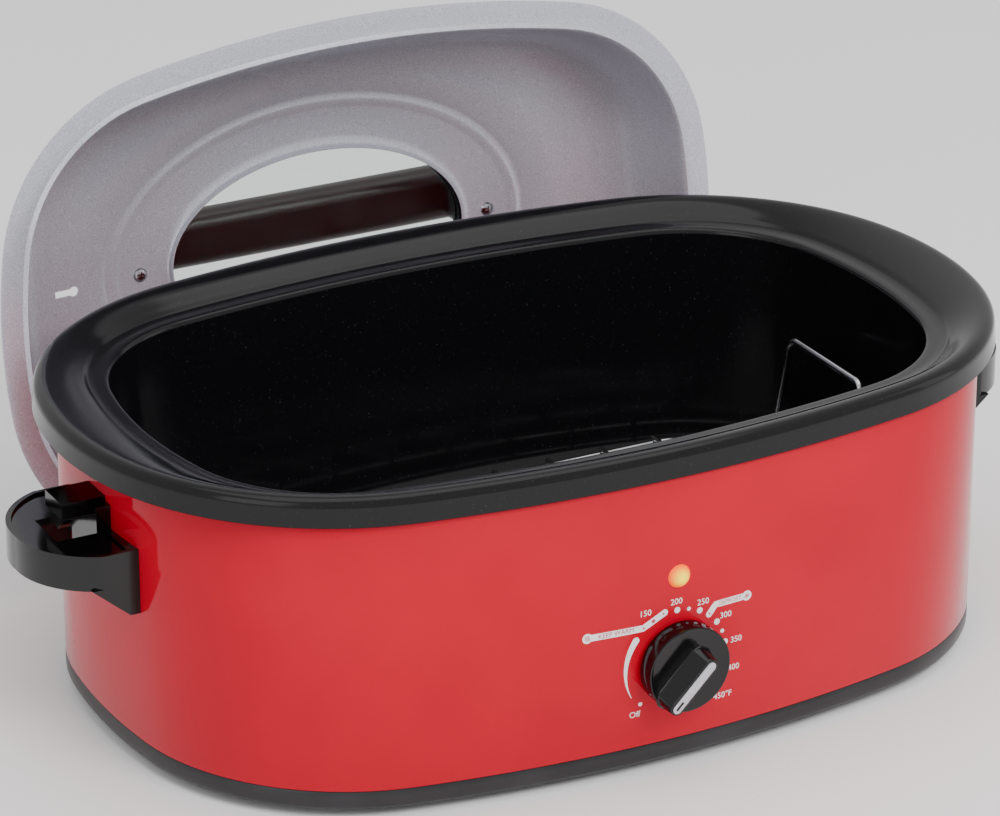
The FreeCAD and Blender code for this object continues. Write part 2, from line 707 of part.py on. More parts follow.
def window_parts():
    glass_length = window_length + glass_overlap * 2
    glass_width = window_width + glass_overlap * 2
    low = dome_height + seal_wall
    glass = prism(ellipse(glass_length, glass_width, low), glass_thickness)
    seal_length = glass_length + seal_groove * 2
    seal_width = glass_width + seal_groove * 2
    seal = prism(ellipse(seal_length, seal_width, dome_height), glass_thickness + seal_wall * 2)
    groove = prism(ellipse(glass_length, glass_width, low), glass_thickness)
    hole = prism(ellipse(window_length + lid_sheet, window_width + lid_sheet, dome_height),
                 glass_thickness + seal_wall * 2)
    return glass, seal.cut([groove, hole])


def lid_handle():
    bar = box(Vector(-bar_half_length, bar_rise - bar_height / 2, bar_centre - bar_depth / 2),
              Vector(bar_half_length, bar_rise + bar_height / 2, bar_centre + bar_depth / 2))
    bar = bar.makeFillet(bar_round, [edge for edge in bar.Edges if edge.Length > bar_half_length])
    posts = []
    for side in (-1, 1):
        low = Vector(side * post_x - post_length / 2, -post_width / 2, dome_height)
        high = Vector(side * post_x + post_length / 2, post_width / 2, bar_centre)
        post = box(low, high)
        post = post.makeFillet(post_round, [edge for edge in post.Edges if edge.BoundBox.ZLength > 1])
        posts.append(post)
    handle = bar.fuse(posts)
    seal_length = window_length + (glass_overlap + seal_groove) * 2
    seal_width = window_width + (glass_overlap + seal_groove) * 2
    clear = prism(ellipse(seal_length + slip_gap * 2, seal_width + slip_gap * 2, dome_height - 1),
                  glass_thickness + seal_wall * 2 + 1 + flat_gap)
    pilots = [rod(lid_screw_radius + shaft_gap, lid_screw_bite + post_pilot_gap, Vector(x, 0, dome_height), up)
              for x in (-post_x, post_x)]
    return handle.cut([clear] + pilots).removeSplitter()


def lid_screws():
    screws = []
    seat = dome_height - lid_sheet
    for x in (-post_x, post_x):
        dome = Part.makeSphere(lid_screw_head_radius * 1.25, Vector(x, 0, seat - lid_screw_head
                                                                   + lid_screw_head_radius * 1.25))
        head = dome.common(rod(lid_screw_head_radius, lid_screw_head, Vector(x, 0, seat - lid_screw_head), up))
        shank = rod(lid_screw_radius, lid_screw_bite + lid_sheet, Vector(x, 0, seat), up)
        screws.append(head.fuse(shank))
    return Part.makeCompound(screws)


# Stands the lid on its long edge behind the cooker, leaning back
def stand_lid(shape):
    lean = radians(lid_tilt)
    turn = FreeCAD.Rotation(Vector(-1, 0, 0), Vector(0, sin(lean), cos(lean)), Vector(0, cos(lean), -sin(lean)))
    reach = lid_outline[1]
    centre = Vector(0, shell_outline[1] + lid_gap + flange_bead + reach * sin(lean),
                    reach * cos(lean) + lid_sheet * sin(lean))
    placed = shape.copy()
    placed.transformShape(FreeCAD.Placement(centre, turn).toMatrix(), True)
    return placed


# The rack: a flat deck of welded wires, a lifting loop at each end and four bent feet
def rack_parts():
    z = rack_deck
    radius = rack_wire / 2
    x = rack_half_length
    y = rack_half_width
    deck = bent_rod([Vector(0, -y, z), Vector(x, -y, z), Vector(x, y, z), Vector(-x, y, z), Vector(-x, -y, z),
                     Vector(0, -y, z)], radius, rack_corner)
    wires = []
    lift = radius + rack_bar_wire / 2 - rack_weld
    for n in range(rack_bar_count):
        bar_x = (n - (rack_bar_count - 1) / 2) * x * 2 / (rack_bar_count + 1)
        wires.append(rod(rack_bar_wire / 2, y * 2 + radius * 2, Vector(bar_x, -y - radius, z + lift), -forward))
    for bar_y in (-y * rack_runner_share, y * rack_runner_share):
        wires.append(rod(rack_bar_wire / 2, x * 2 + radius * 2, Vector(-x - radius, bar_y, z), Vector(1, 0, 0)))
    deck = deck.fuse(wires)
    loops = []
    feet = []
    w = rack_handle_half_width
    top = z + rack_handle_height
    low = pan_floor + flat_gap + radius
    for side in (-1, 1):
        stations = [x, x + rack_handle_set, x + rack_handle_lean]
        points = [Vector(side * place, -w, height) for place, height in zip(stations, (z, z, top))]
        points += [Vector(point.x, w, point.z) for point in reversed(points)]
        loops.append(bent_rod(points, radius, rack_foot_bend))
        for foot_side in (-1, 1):
            centre = Vector(side * x * rack_foot_share, foot_side * y, z)
            half = rack_foot_spread / 2
            inset = -foot_side * rack_foot_inset
            foot = [centre - Vector(half, 0, 0), centre + Vector(rack_foot_slope - half, inset, low - z),
                    centre + Vector(half - rack_foot_slope, inset, low - z), centre + Vector(half, 0, 0)]
            feet.append(bent_rod(foot, radius, rack_foot_bend / 2))
    return deck, Part.makeCompound(loops).cut(deck), Part.makeCompound(feet).cut(deck)


nodes = {}
nodes["outer_shell"] = outer_shell()
nodes["base_ring"] = base_ring()
nodes["bottom_cover"] = bottom_cover()
nodes["rubber_feet"] = rubber_feet()
nodes["foot_screws"] = foot_screws()
nodes["roasting_pan"] = roasting_pan()
nodes["heat_well"], nodes["well_floor"] = well_liner()
nodes["heating_band"] = heating_band()
nodes["band_terminals"] = band_terminals()
nodes["insulation_blanket"] = insulation()
nodes["thermostat_bracket"], nodes["thermostat_body"], nodes["thermostat_shaft"] = thermostat_parts()
nodes["thermostat_bulb"] = thermostat_bulb()
nodes["control_knob"], nodes["knob_insert"] = control_knob()
nodes["pilot_lens"], nodes["lamp_holder"] = pilot_lamp()
nodes["cord_gland"], nodes["terminal_block"], nodes["inner_wires"] = wiring()
right_handle = side_handle()
nodes["right_handle"] = right_handle
nodes["left_handle"] = right_handle.mirror(origin, Vector(1, 0, 0))
nodes["handle_backing_plates"], nodes["handle_screws"] = handle_fixings()
window, seal = window_parts()
nodes["lid_dome"] = stand_lid(lid_dome())
nodes["lid_window"] = stand_lid(window)
nodes["window_seal"] = stand_lid(seal)
nodes["lid_handle"] = stand_lid(lid_handle())
nodes["lid_screws"] = stand_lid(lid_screws())
nodes["roasting_rack"], nodes["rack_loops"], nodes["rack_feet"] = rack_parts()

# The origin is the middle of the whole outline, at the table
whole = FreeCAD.BoundBox()
for shape in nodes.values():
    whole.add(shape.BoundBox)
middle = Vector(-whole.Center.x, -whole.Center.y, 0)

os.makedirs("parts", exist_ok=True)
for name, shape in nodes.items():
    shape.translate(middle)
    shape.exportStep("parts/" + name + ".step")
    print(name, len(shape.Solids), round(shape.Volume), shape.isValid())
print("moved back by", round(middle.y, 3), "outline", whole.XLength, whole.YLength, whole.ZMin, whole.ZMax)
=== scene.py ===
import bpy
import bmesh
from math import sin, cos, pi, sqrt, radians, atan2
from mathutils import Matrix, Vector


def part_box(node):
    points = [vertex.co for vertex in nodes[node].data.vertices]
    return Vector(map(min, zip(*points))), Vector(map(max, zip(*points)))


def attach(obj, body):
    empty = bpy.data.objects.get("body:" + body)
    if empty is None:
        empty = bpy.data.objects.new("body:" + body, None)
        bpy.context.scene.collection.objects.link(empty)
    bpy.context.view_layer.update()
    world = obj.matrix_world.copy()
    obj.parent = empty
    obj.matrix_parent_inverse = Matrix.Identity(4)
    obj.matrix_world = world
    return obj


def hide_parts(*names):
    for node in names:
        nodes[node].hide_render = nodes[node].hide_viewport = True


# electric roaster oven: red steel casing, black enamel pan, silver lid stood up behind
# sizes are in millimetres about the cooker's own middle, and toFrame moves them into the frame in metres

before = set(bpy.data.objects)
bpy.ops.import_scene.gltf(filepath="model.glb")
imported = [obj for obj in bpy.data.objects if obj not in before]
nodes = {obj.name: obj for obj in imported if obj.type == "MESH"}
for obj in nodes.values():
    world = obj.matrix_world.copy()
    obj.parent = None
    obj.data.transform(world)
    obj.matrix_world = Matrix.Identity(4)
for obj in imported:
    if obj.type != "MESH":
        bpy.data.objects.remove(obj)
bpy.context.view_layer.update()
mm = 0.001
samePoint = {"mm": 0.001, "metres": 0.00001, "height": 1e-4, "digits": 3}
shellLow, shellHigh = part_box("outer_shell")
middleY = (shellLow.y + shellHigh.y) / 2
ringCount = 192

# half length, half width, side radius, end radius, corner radius
outlines = {
    "shell": (255.3, 175.2, 738.0, 387.0, 131.0),
    "rim": (275.0, 177.5, 800.0, 200.0, 156.0),
    "mouth": (225.5, 139.3, 882.0, 273.0, 90.0),
    "lid": (230.7, 155.6, 702.0, 335.0, 111.0),
}


def clearSelection():
    for item in list(bpy.context.selected_objects):
        item.select_set(False)


def takeUp(piece):
    clearSelection()
    piece.select_set(True)
    bpy.context.view_layer.objects.active = piece


def toFrame(piece):
    piece.data.transform(Matrix.Translation((0, middleY, 0)) @ Matrix.Scale(mm, 4))
    return piece


def hexColour(text, alpha=1.0):
    parts = [int(text[i:i + 2], 16) / 255 for i in (1, 3, 5)]
    return tuple(p / 12.92 if p <= 0.04045 else ((p + 0.055) / 1.055) ** 2.4 for p in parts) + (alpha,)


# outlines

def cornerCentre(outline):
    halfLength, halfWidth, sideRadius, endRadius, cornerRadius = outline
    side, end = Vector((0, halfWidth - sideRadius)), Vector((halfLength - endRadius, 0))
    toSide, toEnd = sideRadius - cornerRadius, endRadius - cornerRadius
    span = end - side
    along = (toSide ** 2 - toEnd ** 2 + span.length ** 2) / (2 * span.length)
    across = sqrt(toSide ** 2 - along ** 2)
    line = span.normalized()
    return side, end, side + line * along + Vector((line.y, -line.x)) * across


def ovalPoint(outline, grow, angle):
    side, end, corner = cornerCentre(outline)
    direction = Vector((abs(cos(angle)), abs(sin(angle))))
    turn = atan2(direction.y, direction.x)
    outEnd = corner + (corner - end).normalized() * (outline[4] + grow)
    outSide = corner + (corner - side).normalized() * (outline[4] + grow)
    if turn <= atan2(outEnd.y, outEnd.x):
        centre, radius = end, outline[3] + grow
    elif turn <= atan2(outSide.y, outSide.x):
        centre, radius = corner, outline[4] + grow
    else:
        centre, radius = side, outline[2] + grow
    along = direction.dot(centre)
    reach = along + sqrt(along ** 2 - centre.length_squared + radius ** 2)
    return reach * cos(angle), reach * sin(angle)


def ringAngles(outline):
    steps = [2 * pi * n / ringCount for n in range(ringCount)]
    return [atan2(outline[1] * sin(t), outline[0] * cos(t)) for t in steps]


angles = ringAngles(outlines["mouth"])


def ovalRing(name, grow, z):
    return [Vector((*ovalPoint(outlines[name], grow, a), z)) for a in angles]


def ellipseRing(length, width, z):
    ring = []
    for a in angles:
        reach = 1 / sqrt((cos(a) / (length / 2)) ** 2 + (sin(a) / (width / 2)) ** 2)
        ring.append(Vector((reach * cos(a), reach * sin(a), z)))
    return ring


def mixRing(first, second, share):
    return [a.lerp(b, share) for a, b in zip(first, second)]


def shrinkRing(ring, share, z):
    return [Vector((p.x * share, p.y * share, z)) for p in ring]


def ringTurn(vertex):
    x, y = vertex.co.x, vertex.co.y
    return 0 if abs(y) <= 1e-7 and x >= 0 else atan2(y, x) % (2 * pi)  # the first point stays first


# a circle is added, put on its first ring, and its edge extruded from ring to ring
def ringPiece(name, rings, capped=False):
    clearSelection()
    bpy.ops.mesh.primitive_circle_add(vertices=ringCount, radius=1, location=(0, 0, 0))
    piece = bpy.context.object
    piece.name = name
    bpy.ops.object.mode_set(mode="EDIT")
    bpy.ops.mesh.select_all(action="SELECT")
    for number, ring in enumerate(rings):
        if number:
            bpy.ops.mesh.extrude_edges_move(MESH_OT_extrude_edges_indiv={"mirror": False})
        mesh = bmesh.from_edit_mesh(piece.data)
        loop = sorted((v for v in mesh.verts if v.select), key=ringTurn)
        for vertex, spot in zip(loop, ring):
            vertex.co = spot
        bmesh.update_edit_mesh(piece.data)
    for end in (rings[0], rings[-1]) if capped else ():
        mesh = bmesh.from_edit_mesh(piece.data)
        bpy.ops.mesh.select_all(action="DESELECT")
        near = {round(p.x, samePoint["digits"]) for p in end}
        for edge in mesh.edges:
            spot = edge.verts[0].co
            level = abs(spot.z - end[0].z) < samePoint["height"]
            if edge.is_boundary and level and round(spot.x, samePoint["digits"]) in near:
                edge.select_set(True)
        bmesh.update_edit_mesh(piece.data)
        bpy.ops.mesh.edge_face_add()
    bpy.ops.mesh.select_all(action="SELECT")
    bpy.ops.mesh.remove_doubles(threshold=samePoint["mm"])
    bpy.ops.mesh.normals_make_consistent(inside=False)
    bpy.ops.object.mode_set(mode="OBJECT")
    return piece


def smooth(piece, degrees=35):
    takeUp(piece)
    bpy.ops.object.shade_smooth_by_angle(angle=radians(degrees))
    return piece


def joinAll(pieces, name):
    takeUp(pieces[0])
    for piece in pieces[1:]:
        piece.select_set(True)
    bpy.ops.object.join()
    bpy.context.object.name = name
    return bpy.context.object


def roundEdges(piece, width, segments=3, degrees=35):
    takeUp(piece)
    bevel = piece.modifiers.new("roundedEdges", "BEVEL")
    bevel.width = width
    bevel.segments = segments
    bevel.limit_method = "ANGLE"
    bevel.angle_limit = radians(degrees)
    bevel.harden_normals = False
    bpy.ops.object.modifier_apply(modifier=bevel.name)
    return piece


def combine(piece, other, operation):
    takeUp(piece)
    change = piece.modifiers.new("combine", "BOOLEAN")
    change.operation = operation
    change.solver = "EXACT"
    change.object = other
    bpy.ops.object.modifier_apply(modifier=change.name)
    bpy.data.objects.remove(other)
    return piece


def cutWith(piece, cutter):
    return combine(piece, cutter, "DIFFERENCE")


moulded = {"handleEdge": 0.0009, "barEdge": 0.0012, "flatWithin": 0.1, "smoothWithin": 30, "faceWeight": 100}


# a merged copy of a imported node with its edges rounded, for moulded parts whose shape is already right
def roundedCopy(node, name, width):
    piece = nodes[node].copy()
    piece.data = piece.data.copy()
    piece.parent = None
    for key in list(piece.keys()):
        del piece[key]
    bpy.context.scene.collection.objects.link(piece)
    piece.name = name
    piece.matrix_world = Matrix.Identity(4)
    takeUp(piece)
    bpy.ops.object.mode_set(mode="EDIT")
    bpy.ops.mesh.select_all(action="SELECT")
    bpy.ops.mesh.remove_doubles(threshold=samePoint["metres"])
    bpy.ops.mesh.dissolve_limited(angle_limit=radians(moulded["flatWithin"]))
    bpy.ops.object.mode_set(mode="OBJECT")
    roundEdges(piece, width)
    smooth(piece, moulded["smoothWithin"])
    flat = piece.modifiers.new("flatFaces", "WEIGHTED_NORMAL")
    flat.weight = moulded["faceWeight"]
    flat.keep_sharp = True
    bpy.ops.object.modifier_apply(modifier=flat.name)
    return piece


def dress(piece, material):
    piece.data.materials.clear()
    piece.data.materials.append(material)
    return piece


def place(piece, body, slot, material, *stands):
    dress(piece, material)
    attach(piece, body)
    if stands:
        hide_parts(*stands)
    print("made", piece.name, len(piece.data.polygons), "faces")
    return piece


# materials

def addNode(tree, kind, values=None, links=None):
    node = tree.nodes.new(kind)
    for key, value in (values or {}).items():
        if isinstance(key, int) or key in node.inputs:
            node.inputs[key].default_value = value
        else:
            setattr(node, key, value)
    for key, source in (links or {}).items():
        tree.links.new(source, node.inputs[key])
    return node


def newMaterial(name, values):
    material = bpy.data.materials.new(name)
    material.use_nodes = True
    tree = material.node_tree
    shader = tree.nodes["Principled BSDF"]
    for key, value in values.items():
        shader.inputs[key].default_value = value
    spot = addNode(tree, "ShaderNodeTexCoord").outputs["Object"]
    return material, tree, shader, spot


# a noise is given by its grain in millimetres and its detail
def noise(tree, spot, grainMm, detail):
    values = {"Scale": 1 / (grainMm * mm), "Detail": detail, "Roughness": 0.5}
    return addNode(tree, "ShaderNodeTexNoise", values, {"Vector": spot}).outputs["Fac"]


def ramp(tree, source, stops):
    node = addNode(tree, "ShaderNodeValToRGB", None, {"Fac": source})
    while len(node.color_ramp.elements) < len(stops):
        node.color_ramp.elements.new(0.5)
    for element, (spot, colour) in zip(node.color_ramp.elements, stops):
        element.position = spot
        element.color = colour if not isinstance(colour, float) else (colour, colour, colour, 1)
    return node.outputs["Color"]


def colourBy(tree, shader, source, stops):
    colour = ramp(tree, source, [(at, hexColour(text)) for at, text in stops])
    tree.links.new(colour, shader.inputs["Base Color"])
    return colour


def roughBy(tree, shader, source, stops):
    tree.links.new(ramp(tree, source, stops), shader.inputs["Roughness"])


# a bump is given by its strength and its depth in millimetres
def bump(tree, shader, source, strength, depthMm):
    node = addNode(tree, "ShaderNodeBump", {"Strength": strength, "Distance": depthMm * mm}, {"Height": source})
    tree.links.new(node.outputs["Normal"], shader.inputs["Normal"])


# stove enamel on pressed steel: a wet gloss with the faint orange peel of sprayed paint
def redPaint():
    look = {"patch": (90.0, 2.0), "colours": [(0.35, "#b50021"), (0.65, "#be0024")], "peel": (3.5, 2.0),
            "bump": (0.04, 0.05)}
    material, tree, shader, spot = newMaterial("redStovePaint", {
        "Roughness": 0.07, "IOR": 1.45, "Specular IOR Level": 0.2})
    colourBy(tree, shader, noise(tree, spot, *look["patch"]), look["colours"])
    bump(tree, shader, noise(tree, spot, *look["peel"]), *look["bump"])
    return material


# porcelain enamel: black glass fused on steel, a little wavy, with pinprick specks
def blackEnamel():
    look = {"speck": (1.1, 1.0), "colours": [(0.70, "#0b0b0d"), (0.78, "#2c2c30")], "pool": (56.0, 3.0),
            "rough": [(0.3, 0.10), (0.7, 0.18)], "wave": (14.0, 2.0), "bump": (0.08, 0.1)}
    material, tree, shader, spot = newMaterial("blackPorcelainEnamel", {"IOR": 1.5, "Specular IOR Level": 0.3})
    colourBy(tree, shader, noise(tree, spot, *look["speck"]), look["colours"])
    roughBy(tree, shader, noise(tree, spot, *look["pool"]), look["rough"])
    bump(tree, shader, noise(tree, spot, *look["wave"]), *look["bump"])
    return material


# moulded black ABS: polished tool, so glossy, with slight sink and fine dust specks
def glossBlack():
    look = {"dust": (0.7, 1.0), "colours": [(0.72, "#060607"), (0.8, "#161618")], "cloud": (44.0, 3.0),
            "rough": [(0.3, 0.08), (0.7, 0.15)], "sink": (22.0, 1.0), "bump": (0.06, 0.1)}
    material, tree, shader, spot = newMaterial("polishedBlackAbs", {"IOR": 1.52, "Specular IOR Level": 0.4})
    colourBy(tree, shader, noise(tree, spot, *look["dust"]), look["colours"])
    roughBy(tree, shader, noise(tree, spot, *look["cloud"]), look["rough"])
    bump(tree, shader, noise(tree, spot, *look["sink"]), *look["bump"])
    return material


# moulded black phenolic with a fine spark-eroded grain
def satinBlack():
    look = {"patch": (30.0, 3.0), "colours": [(0.35, "#141416"), (0.75, "#232326")],
            "rough": [(0.3, 0.30), (0.7, 0.42)], "grain": (0.5, 2.0), "bump": (0.12, 0.03)}
    material, tree, shader, spot = newMaterial("grainedBlackPhenolic", {"IOR": 1.5})
    patch = noise(tree, spot, *look["patch"])
    colourBy(tree, shader, patch, look["colours"])
    roughBy(tree, shader, patch, look["rough"])
    bump(tree, shader, noise(tree, spot, *look["grain"]), *look["bump"])
    return material


# aluminium-flake paint: satin silver whose grain glitters finely under the clear
def silverPaint():
    look = {"flake": (0.7, 1.0), "colours": [(0.3, "#a9a9b3"), (0.55, "#bfbfca"), (0.75, "#d0d0da")],
            "cloud": (60.0, 2.0), "rough": [(0.3, 0.26), (0.7, 0.34)], "bump": (0.06, 0.04)}
    material, tree, shader, spot = newMaterial("silverFlakePaint", {"Metallic": 0.35})
    flake = noise(tree, spot, *look["flake"])
    colourBy(tree, shader, flake, look["colours"])
    roughBy(tree, shader, noise(tree, spot, *look["cloud"]), look["rough"])
    bump(tree, shader, flake, *look["bump"])
    return material


# nickel-chrome plated wire: bright, with a faint drawn grain along it
def rackChrome():
    look = {"patch": (19.2, 3.0), "colours": [(0.4, "#c9c9cd"), (0.8, "#a5a29d")],
            "rough": [(0.3, 0.10), (0.8, 0.24)], "grain": (1.6, 2.0), "bump": (0.06, 0.03)}
    material, tree, shader, spot = newMaterial("platedRackWire", {"Metallic": 1.0})
    patch = noise(tree, spot, *look["patch"])
    colourBy(tree, shader, patch, look["colours"])
    roughBy(tree, shader, patch, look["rough"])
    bump(tree, shader, noise(tree, spot, *look["grain"]), *look["bump"])
    return material


# zinc-coated sheet: dull grey with the broad flowers of spangle
def zincSteel():
    look = {"flowerMm": 9.0, "colours": [(0.1, "#a7aaad"), (0.7, "#7d8083")],
            "rough": [(0.1, 0.34), (0.7, 0.5)], "bump": (0.05, 0.05)}
    material, tree, shader, spot = newMaterial("galvanisedSheet", {"Metallic": 0.9})
    cells = addNode(tree, "ShaderNodeTexVoronoi", {"Scale": 1 / (look["flowerMm"] * mm)}, {"Vector": spot})
    flower = cells.outputs["Distance"]
    colourBy(tree, shader, flower, look["colours"])
    roughBy(tree, shader, flower, look["rough"])
    bump(tree, shader, flower, *look["bump"])
    return material


# bright screws: turned heads with rings left by the tool
def screwSteel():
    look = {"patch": (2.4, 3.0), "colours": [(0.3, "#8e8e94"), (0.6, "#b9b9be")],
            "rough": [(0.3, 0.18), (0.7, 0.32)], "ring": (0.4, 2.0), "bump": (0.1, 0.02)}
    material, tree, shader, spot = newMaterial("nickelScrew", {"Metallic": 1.0})
    patch = noise(tree, spot, *look["patch"])
    colourBy(tree, shader, patch, look["colours"])
    roughBy(tree, shader, patch, look["rough"])
    bump(tree, shader, noise(tree, spot, *look["ring"]), *look["bump"])
    return material


# satin aluminium foil strip, brushed across
def silverFoil():
    look = {"turn": -45, "stretch": (1, 1, 0.06), "line": (0.25, 2.0), "bump": (0.08, 0.02),
            "colours": [(0.35, "#b4b4bc"), (0.65, "#d4d4da")], "rough": [(0.3, 0.24), (0.7, 0.36)]}
    material, tree, shader, spot = newMaterial("brushedFoil", {"Metallic": 0.85})
    values = {"Rotation": (0, radians(look["turn"]), 0), "Scale": look["stretch"]}
    turned = addNode(tree, "ShaderNodeMapping", values, {"Vector": spot}).outputs["Vector"]
    line = noise(tree, turned, *look["line"])
    colourBy(tree, shader, line, look["colours"])
    roughBy(tree, shader, line, look["rough"])
    bump(tree, shader, line, *look["bump"])
    return material


# amber polycarbonate lens lit from behind: hot in the middle, orange at the edge
def amberLens():
    look = {"glowMm": 6.8, "colours": [(0.15, "#ffe600"), (0.6, "#ffb000"), (1.0, "#ff5a00")],
            "rib": (1.4, 1.0), "bump": (0.15, 0.1)}
    material, tree, shader, spot = newMaterial("litAmberLens", {
        "Roughness": 0.2, "Specular IOR Level": 0.25, "Emission Strength": 0.7})
    low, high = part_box("pilot_lens")
    centre = Vector(((low.x + high.x) / 2, low.y, (low.z + high.z) / 2))
    local = addNode(tree, "ShaderNodeVectorMath", {"operation": "SUBTRACT", 1: centre}, {0: spot})
    reach = addNode(tree, "ShaderNodeVectorMath", {"operation": "LENGTH"}, {0: local.outputs["Vector"]})
    share = addNode(tree, "ShaderNodeMath", {"operation": "DIVIDE", 1: look["glowMm"] * mm},
                    {0: reach.outputs["Value"]})
    glow = colourBy(tree, shader, share.outputs["Value"], look["colours"])
    tree.links.new(glow, shader.inputs["Emission Color"])
    bump(tree, shader, noise(tree, spot, *look["rib"]), *look["bump"])
    return material


# toughened window glass, faintly green at the edge
def windowGlass():
    look = {"wave": (40.0, 1.0), "bump": (0.03, 0.05), "tint": "#f3faf8"}
    material, tree, shader, spot = newMaterial("toughenedGlass", {
        "Base Color": hexColour(look["tint"]), "Roughness": 0.015, "Transmission Weight": 1.0, "IOR": 1.5})
    bump(tree, shader, noise(tree, spot, *look["wave"]), *look["bump"])
    return material


# moulded rubber: soft and matt, with mould bloom
def rubber(name, dark, bloom, roughness):
    look = {"bloom": (11.2, 3.0), "fade": 0.12, "grain": (0.8, 2.0), "bump": (0.1, 0.04)}
    material, tree, shader, spot = newMaterial(name, {"IOR": 1.43})
    patch = noise(tree, spot, *look["bloom"])
    colourBy(tree, shader, patch, [(0.4, dark), (0.8, bloom)])
    roughBy(tree, shader, patch, [(0.3, roughness), (0.7, roughness + look["fade"])])
    bump(tree, shader, noise(tree, spot, *look["grain"]), *look["bump"])
    return material


# pale glass wool, matted fibres
def glassWool():
    look = {"stretch": (1, 1, 6), "fibre": (1.2, 4.0), "colours": [(0.3, "#c9b878"), (0.7, "#e9dfb4")],
            "bump": (0.7, 0.6)}
    material, tree, shader, spot = newMaterial("glassWoolBlanket", {"Roughness": 0.95})
    stretched = addNode(tree, "ShaderNodeMapping", {"Scale": look["stretch"]}, {"Vector": spot})
    fibre = noise(tree, stretched.outputs["Vector"], *look["fibre"])
    colourBy(tree, shader, fibre, look["colours"])
    bump(tree, shader, fibre, *look["bump"])
    return material


# screen-printed white ink, slightly raised and matt on the gloss paint
def whiteInk():
    look = {"weave": (0.35, 1.0), "colours": [(0.35, "#e6dfe4"), (0.6, "#f4f2f4")], "bump": (0.08, 0.02)}
    material, tree, shader, spot = newMaterial("screenPrintInk", {"Roughness": 0.45})
    weave = noise(tree, spot, *look["weave"])
    colourBy(tree, shader, weave, look["colours"])
    bump(tree, shader, weave, *look["bump"])
    return material


# red ink words that let the panel colour show through the white bands
def redInk():
    look = {"weave": (0.35, 1.0), "colours": [(0.35, "#c65a68"), (0.6, "#b5394a")]}
    material, tree, shader, spot = newMaterial("redPrintInk", {"Roughness": 0.45})
    colourBy(tree, shader, noise(tree, spot, *look["weave"]), look["colours"])
    return material


finishes = {
    "red": redPaint(), "enamel": blackEnamel(), "gloss": glossBlack(), "satin": satinBlack(),
    "silver": silverPaint(), "chrome": rackChrome(), "zinc": zincSteel(), "screw": screwSteel(),
    "foil": silverFoil(), "amber": amberLens(), "glass": windowGlass(),
    "foot": rubber("footRubber", "#0d0d0e", "#1e1e20", 0.55),
    "seal": rubber("siliconeSeal", "#101012", "#202024", 0.4),
    "wire": rubber("siliconeWireCover", "#cfcac0", "#b4aea2", 0.5), "wool": glassWool(),
    "ink": whiteInk(), "redInk": redInk(),
}
nodeFinish = {
    "outer_shell": "red", "base_ring": "satin", "bottom_cover": "zinc", "rubber_feet": "foot",
    "foot_screws": "screw", "roasting_pan": "enamel", "heat_well": "zinc", "heating_band": "zinc",
    "band_terminals": "screw", "insulation_blanket": "wool", "thermostat_bracket": "zinc",
    "thermostat_body": "satin", "thermostat_shaft": "screw", "thermostat_bulb": "screw",
    "control_knob": "gloss", "knob_insert": "foil", "pilot_lens": "amber", "lamp_holder": "satin",
    "cord_gland": "satin", "terminal_block": "satin", "inner_wires": "wire", "right_handle": "gloss",
    "left_handle": "gloss", "handle_backing_plates": "zinc", "handle_screws": "screw",
    "lid_dome": "silver", "lid_window": "glass", "window_seal": "seal", "lid_handle": "satin",
    "lid_screws": "screw", "roasting_rack": "chrome", "rack_loops": "chrome", "rack_feet": "chrome",
    "well_floor": "zinc",
}
for nodeName, finishName in nodeFinish.items():
    dress(nodes[nodeName], finishes[finishName])
print("materials ready")


# casing
def makeShell():
    shell = {"bottom": 16.5, "top": 172.9, "sheet": 0.8, "lip": 9.0, "edge": 0.35}
    rings = [ovalRing("shell", -shell["sheet"], shell["bottom"]), ovalRing("shell", 0, shell["bottom"]),
             ovalRing("shell", 0, shell["top"]), ovalRing("shell", -shell["lip"], shell["top"]),
             ovalRing("shell", -shell["lip"], shell["top"] - shell["sheet"]),
             ovalRing("shell", -shell["sheet"], shell["top"] - shell["sheet"])]
    piece = ringPiece("redCasing", rings + rings[:1])
    roundEdges(piece, shell["edge"], 2, 60)
    toFrame(smooth(piece))
    return place(piece, "root", "red_paint", finishes["red"], "outer_shell")


def makeBase():
    base = {"bottom": 5.3, "top": 16.4, "wall": 14.0, "round": 2.4, "heel": 0.7, "groove": 0.5}
    bottom, top = base["bottom"], base["top"]
    rings = [ovalRing("shell", -base["wall"], top), ovalRing("shell", -base["wall"], bottom),
             ovalRing("shell", -base["round"], bottom),
             ovalRing("shell", -base["round"] * 0.3, bottom + base["heel"]),
             ovalRing("shell", 0, bottom + base["round"]), ovalRing("shell", 0, top - base["groove"]),
             ovalRing("shell", -base["groove"], top)]
    piece = ringPiece("baseRing", rings + rings[:1])
    toFrame(smooth(piece, 50))
    return place(piece, "root", "black_trim", finishes["satin"], "base_ring")


